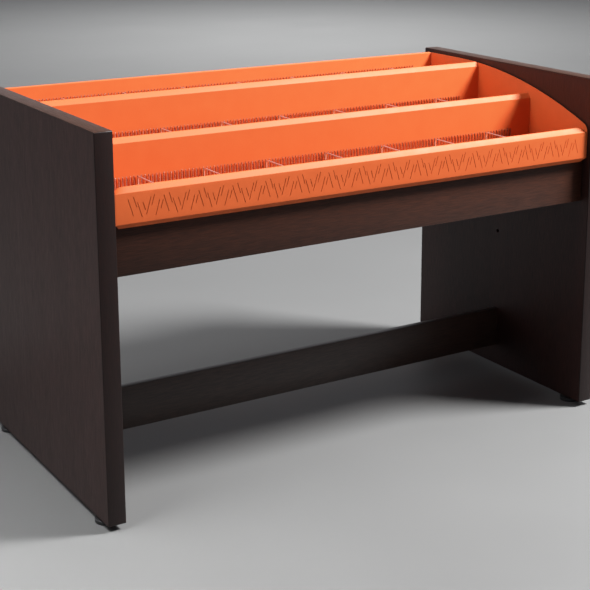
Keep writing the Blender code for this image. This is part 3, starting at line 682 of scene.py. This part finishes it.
# Tray screws: zinc-plated pan heads with a cross recess, driven through the pans' floors.
# The pointed shank runs into the top edge of an apron.
SCREW_SIDES = 24
HEAD_HEIGHT = 0.0025
SHANK_RADIUS = 0.002
HEAD_DOME = ((0.0, 1.0), (0.45, 0.96), (0.78, 0.78), (0.95, 0.45), (1.0, 0.12), (0.97, 0.0))
RECESS_REACH = 0.0021
RECESS_WIDTH = 0.00045
RECESS_DEPTH = 0.0014


def add_turned(builder, profile, sides):
    """A closed turned body: (radius, height) points spun a full turn about the upright axis."""
    line, chain = add_line(builder, [(r, 0.0, z) for r, z in profile])
    bmesh.ops.spin(builder, geom=line + chain, cent=(0, 0, 0), axis=(0, 0, 1), angle=2 * math.pi,
                   steps=sides, use_merge=True)
    bmesh.ops.remove_doubles(builder, verts=builder.verts[:], dist=MERGE_DISTANCE)


for apron in ("front_apron", "rear_apron"):
    for side in SIDES:
        low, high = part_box(f"{apron}_{side}_screw")
        middle = (low + high) / 2
        seat = high.z - HEAD_HEIGHT
        head = (high.x - low.x) / 2
        profile = [(head * r, seat + HEAD_HEIGHT * h) for r, h in HEAD_DOME]
        profile += [(SHANK_RADIUS, seat), (SHANK_RADIUS, low.z + SHANK_RADIUS), (0.0, low.z)]
        builder = bmesh.new()
        add_turned(builder, profile, SCREW_SIDES)
        bmesh.ops.translate(builder, verts=builder.verts[:], vec=(middle.x, middle.y, 0))
        screw = add_solid(f"{apron}_{side}_tray_screw", builder)
        screw.data.materials.append(zinc_finish)
        for reach, width in ((RECESS_REACH, RECESS_WIDTH), (RECESS_WIDTH, RECESS_REACH)):
            bar = bmesh.new()
            add_block(bar, (middle.x - reach, middle.y - width, high.z - RECESS_DEPTH),
                      (middle.x + reach, middle.y + width, high.z + RECESS_DEPTH))
            cut_away(screw, bar)
        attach(screw, "base")
        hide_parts(f"{apron}_{side}_screw")


# Combs: fine steel wires welded upright on a base wire, one comb standing at the back of each row.
# They are bright plated, but their colour is a darker grey than the lane frames' chrome: painted shade for
# the dark reflections they show. Their cut tips are eased.
LANE_PITCH = 0.152
WIRES_PER_LANE = 18
COMB_PITCH = LANE_PITCH / WIRES_PER_LANE
COMB_WIRE = 0.0026
COMB_BASE_WIRE = 0.0036
COMB_SIDES = 8
TIP_HEIGHT = COMB_WIRE / 4
TIP_SHARE = 0.55
# A darker grey than the lane frames' chrome: painted shade on the plated wire.
COMB_SHADE_DARK = (0.34, 0.29, 0.30, 1.0)
COMB_SHADE_LIGHT = (0.46, 0.40, 0.41, 1.0)
COMB_SPECKLE = {"scale": 260.0, "smooth": 0.15, "dull": 0.24, "bump": 0.000004, "metallic": 1.0}


def edges_in(geometry):
    """The edges among an operator's results."""
    return [item for item in geometry if isinstance(item, bmesh.types.BMEdge)]


comb_shade_finish = speckled_finish("painted_shade_comb_wire", COMB_SHADE_DARK, COMB_SHADE_LIGHT, **COMB_SPECKLE)
for row_name in ROW_NAMES:
    low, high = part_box(f"{row_name}_comb")
    middle_y = (low.y + high.y) / 2
    first_x = low.x + COMB_WIRE / 2
    base_z = low.z + COMB_BASE_WIRE / 2
    builder = bmesh.new()
    bmesh.ops.create_circle(builder, segments=COMB_SIDES, radius=COMB_WIRE / 2,
                            matrix=Matrix.Translation((first_x, middle_y, base_z)))
    ring = builder.edges[:]
    for level, share in ((high.z - TIP_HEIGHT, 1.0), (high.z, TIP_SHARE)):
        drawn = bmesh.ops.extrude_edge_only(builder, edges=ring)["geom"]
        ring = edges_in(drawn)
        points = points_in(drawn)
        bmesh.ops.translate(builder, verts=points, vec=(0, 0, level - points[0].co.z))
        bmesh.ops.scale(builder, verts=points, vec=(share, share, 1.0),
                        space=Matrix.Translation((-first_x, -middle_y, 0)))
    bmesh.ops.holes_fill(builder, edges=builder.edges[:])
    count = round((high.x - low.x - COMB_WIRE) / COMB_PITCH)
    bmesh.ops.spin(builder, geom=builder.verts[:] + builder.edges[:] + builder.faces[:], cent=(0, 0, 0),
                   axis=(0, 0, 1), dvec=(COMB_PITCH, 0, 0), angle=0.0, steps=count, use_duplicate=True)
    add_rod(builder, (low.x, middle_y, base_z), (high.x, middle_y, base_z), COMB_BASE_WIRE)
    comb = add_solid(f"{row_name}_comb_wires", builder)
    comb.data.materials.append(comb_shade_finish)
    settle(comb)
    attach(comb, f"{row_name}_rack")
    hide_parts(f"{row_name}_comb")


# Lane frames: a chromed floor wire bent back at both ends to the comb, and seven hoops welded on it.
# Each hoop rises in front of the comb, runs forward over the row and comes down on the floor wire.
FRAME_WIRE = 0.0042
LANE_WIRE = 0.0028
LANE_COUNT = 7
BEND_RADIUS = 0.008
BEND_STEPS = 6
WIRE_SIDES = 12
CHROME_DARK = (0.60, 0.60, 0.62, 1.0)
CHROME_LIGHT = (0.74, 0.74, 0.76, 1.0)
CHROME_SPECKLE = {"scale": 260.0, "smooth": 0.28, "dull": 0.38, "bump": 0.000004, "metallic": 0.85}


def add_bent_wire(builder, route, diameter):
    """A round wire along a route of straight runs, with a bend of one radius at each corner."""
    route = [Vector(point) for point in route]
    heading = (route[1] - route[0]).normalized()
    start = Matrix.Translation(route[0]) @ heading.to_track_quat("Z", "Y").to_matrix().to_4x4()
    points = bmesh.ops.create_circle(builder, segments=WIRE_SIDES, radius=diameter / 2, matrix=start)["verts"]
    ring = list({e for v in points for e in v.link_edges})
    open_ends = ring[:]
    reached = route[0]
    for index in range(1, len(route)):
        last = index == len(route) - 1
        target = route[index] if last else route[index] - heading * BEND_RADIUS
        drawn = bmesh.ops.extrude_edge_only(builder, edges=ring)["geom"]
        ring = edges_in(drawn)
        points = points_in(drawn)
        bmesh.ops.translate(builder, verts=points, vec=target - reached)
        reached = target
        if not last:
            after = (route[index + 1] - route[index]).normalized()
            turned = bmesh.ops.spin(builder, geom=points + ring, cent=reached + after * BEND_RADIUS,
                                    axis=heading.cross(after), angle=math.pi / 2, steps=BEND_STEPS)
            ring = edges_in(turned["geom_last"])
            reached = route[index] + after * BEND_RADIUS
            heading = after
    bmesh.ops.holes_fill(builder, edges=open_ends + ring)


chrome_finish = speckled_finish("chrome_wire", CHROME_DARK, CHROME_LIGHT, **CHROME_SPECKLE)
for row_name in ROW_NAMES:
    low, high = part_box(f"{row_name}_lane_frame")
    end_x = high.x - FRAME_WIRE / 2
    wire_y = low.y + FRAME_WIRE / 2
    wire_z = low.z + FRAME_WIRE / 2
    top_z = high.z - LANE_WIRE / 2
    comb_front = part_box(f"{row_name}_comb")[0].y - PIECE_GAP
    back_y = comb_front - LANE_WIRE / 2
    builder = bmesh.new()
    floor_route = [(-end_x, comb_front, wire_z), (-end_x, wire_y, wire_z), (end_x, wire_y, wire_z),
                   (end_x, comb_front, wire_z)]
    add_bent_wire(builder, floor_route, FRAME_WIRE)
    for index in range(LANE_COUNT):
        x = (index - (LANE_COUNT - 1) / 2) * LANE_PITCH
        hoop_route = [(x, back_y, low.z), (x, back_y, top_z), (x, wire_y, top_z), (x, wire_y, wire_z)]
        add_bent_wire(builder, hoop_route, LANE_WIRE)
    lanes = add_solid(f"{row_name}_lane_wires", builder)
    lanes.data.materials.append(chrome_finish)
    settle(lanes)
    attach(lanes, f"{row_name}_rack")
    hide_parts(f"{row_name}_lane_frame")


# Levelling feet: a black plastic pad on the floor, and a zinc-plated M8 stud with a hexagon for a spanner.
# The stud turns in the pad's socket and in a steel sleeve let into the panel's lower edge.
PAD_SIDES = 40
PAD_ROUND = 0.0012
PAD_ROUND_STEPS = 3
PAD_SOCKET_DEPTH = 0.005
SOCKET_RADIUS = 0.0043
PLASTIC_DARK = (0.010, 0.010, 0.011, 1.0)
PLASTIC_LIGHT = (0.020, 0.020, 0.021, 1.0)
PLASTIC_SPECKLE = {"scale": 1400.0, "smooth": 0.42, "dull": 0.60, "bump": 0.00003}
STUD_RADIUS = 0.0034
THREAD_RADIUS = 0.004
THREAD_ROOT = STUD_RADIUS * 0.98
THREAD_PITCH = 0.00125
THREAD_STEPS = 16
THREAD_SECTION = ((THREAD_ROOT, 0.05), (THREAD_RADIUS, 0.5), (THREAD_ROOT, 0.95))
HEXAGON_ACROSS = 0.017
HEXAGON_HEIGHT = 0.0034
HEXAGON_ROUND = 0.0004

pad_finish = speckled_finish("black_plastic", PLASTIC_DARK, PLASTIC_LIGHT, **PLASTIC_SPECKLE)
for side in SIDES:
    for end in END_NAMES:
        low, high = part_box(f"{end}_{side}_foot_pad")
        middle = (low + high) / 2
        radius = (high.x - low.x) / 2
        socket_z = high.z - PAD_SOCKET_DEPTH
        profile = [(0.0, socket_z), (SOCKET_RADIUS, socket_z), (SOCKET_RADIUS, high.z), (radius, high.z),
                   (radius, low.z), (0.0, low.z)]
        builder = bmesh.new()
        add_turned(builder, profile, PAD_SIDES)
        bmesh.ops.recalc_face_normals(builder, faces=builder.faces[:])
        outer = [e for e in builder.edges if e.verts[0].co.xy.length > radius / 2]
        rims = [e for e in outer if e.calc_face_angle() > RIM_ANGLE]
        round_off(builder, rims, PAD_ROUND, PAD_ROUND_STEPS)
        bmesh.ops.translate(builder, verts=builder.verts[:], vec=(middle.x, middle.y, 0))
        pad = add_solid(f"{end}_{side}_pad_disc", builder)
        pad.data.materials.append(pad_finish)
        settle(pad)
        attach(pad, f"{end}_{side}_pad")
        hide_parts(f"{end}_{side}_foot_pad")

        stud_low, stud_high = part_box(f"{end}_{side}_foot_stud")
        hexagon_z = high.z + PIECE_GAP
        thread_z = hexagon_z + HEXAGON_HEIGHT
        builder = bmesh.new()
        add_rod(builder, (0, 0, stud_low.z), (0, 0, stud_high.z), 2 * STUD_RADIUS)
        corner = HEXAGON_ACROSS / math.sqrt(3)
        nut = bmesh.ops.create_cone(builder, cap_ends=True, segments=6, radius1=corner, radius2=corner,
                                    depth=HEXAGON_HEIGHT,
                                    matrix=Matrix.Translation((0, 0, hexagon_z + HEXAGON_HEIGHT / 2)))
        round_off(builder, list({e for v in nut["verts"] for e in v.link_edges}), HEXAGON_ROUND)
        crest = [builder.verts.new((r, 0.0, thread_z + THREAD_PITCH * h)) for r, h in THREAD_SECTION]
        chain = [builder.edges.new(pair) for pair in zip(crest, crest[1:] + crest[:1])]
        turns = int((stud_high.z - thread_z) / THREAD_PITCH) - 1
        turned = bmesh.ops.spin(builder, geom=crest + chain, cent=(0, 0, 0), axis=(0, 0, 1),
                                dvec=(0, 0, THREAD_PITCH / THREAD_STEPS), angle=2 * math.pi * turns,
                                steps=THREAD_STEPS * turns)
        bmesh.ops.holes_fill(builder, edges=chain + edges_in(turned["geom_last"]))
        bmesh.ops.translate(builder, verts=builder.verts[:], vec=(middle.x, middle.y, 0))
        stud = add_solid(f"{end}_{side}_threaded_stud", builder)
        stud.data.materials.append(zinc_finish)
        settle(stud)
        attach(stud, f"{end}_{side}_stud")
        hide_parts(f"{end}_{side}_foot_stud")
        dress(f"{end}_{side}_foot_insert", zinc_finish)
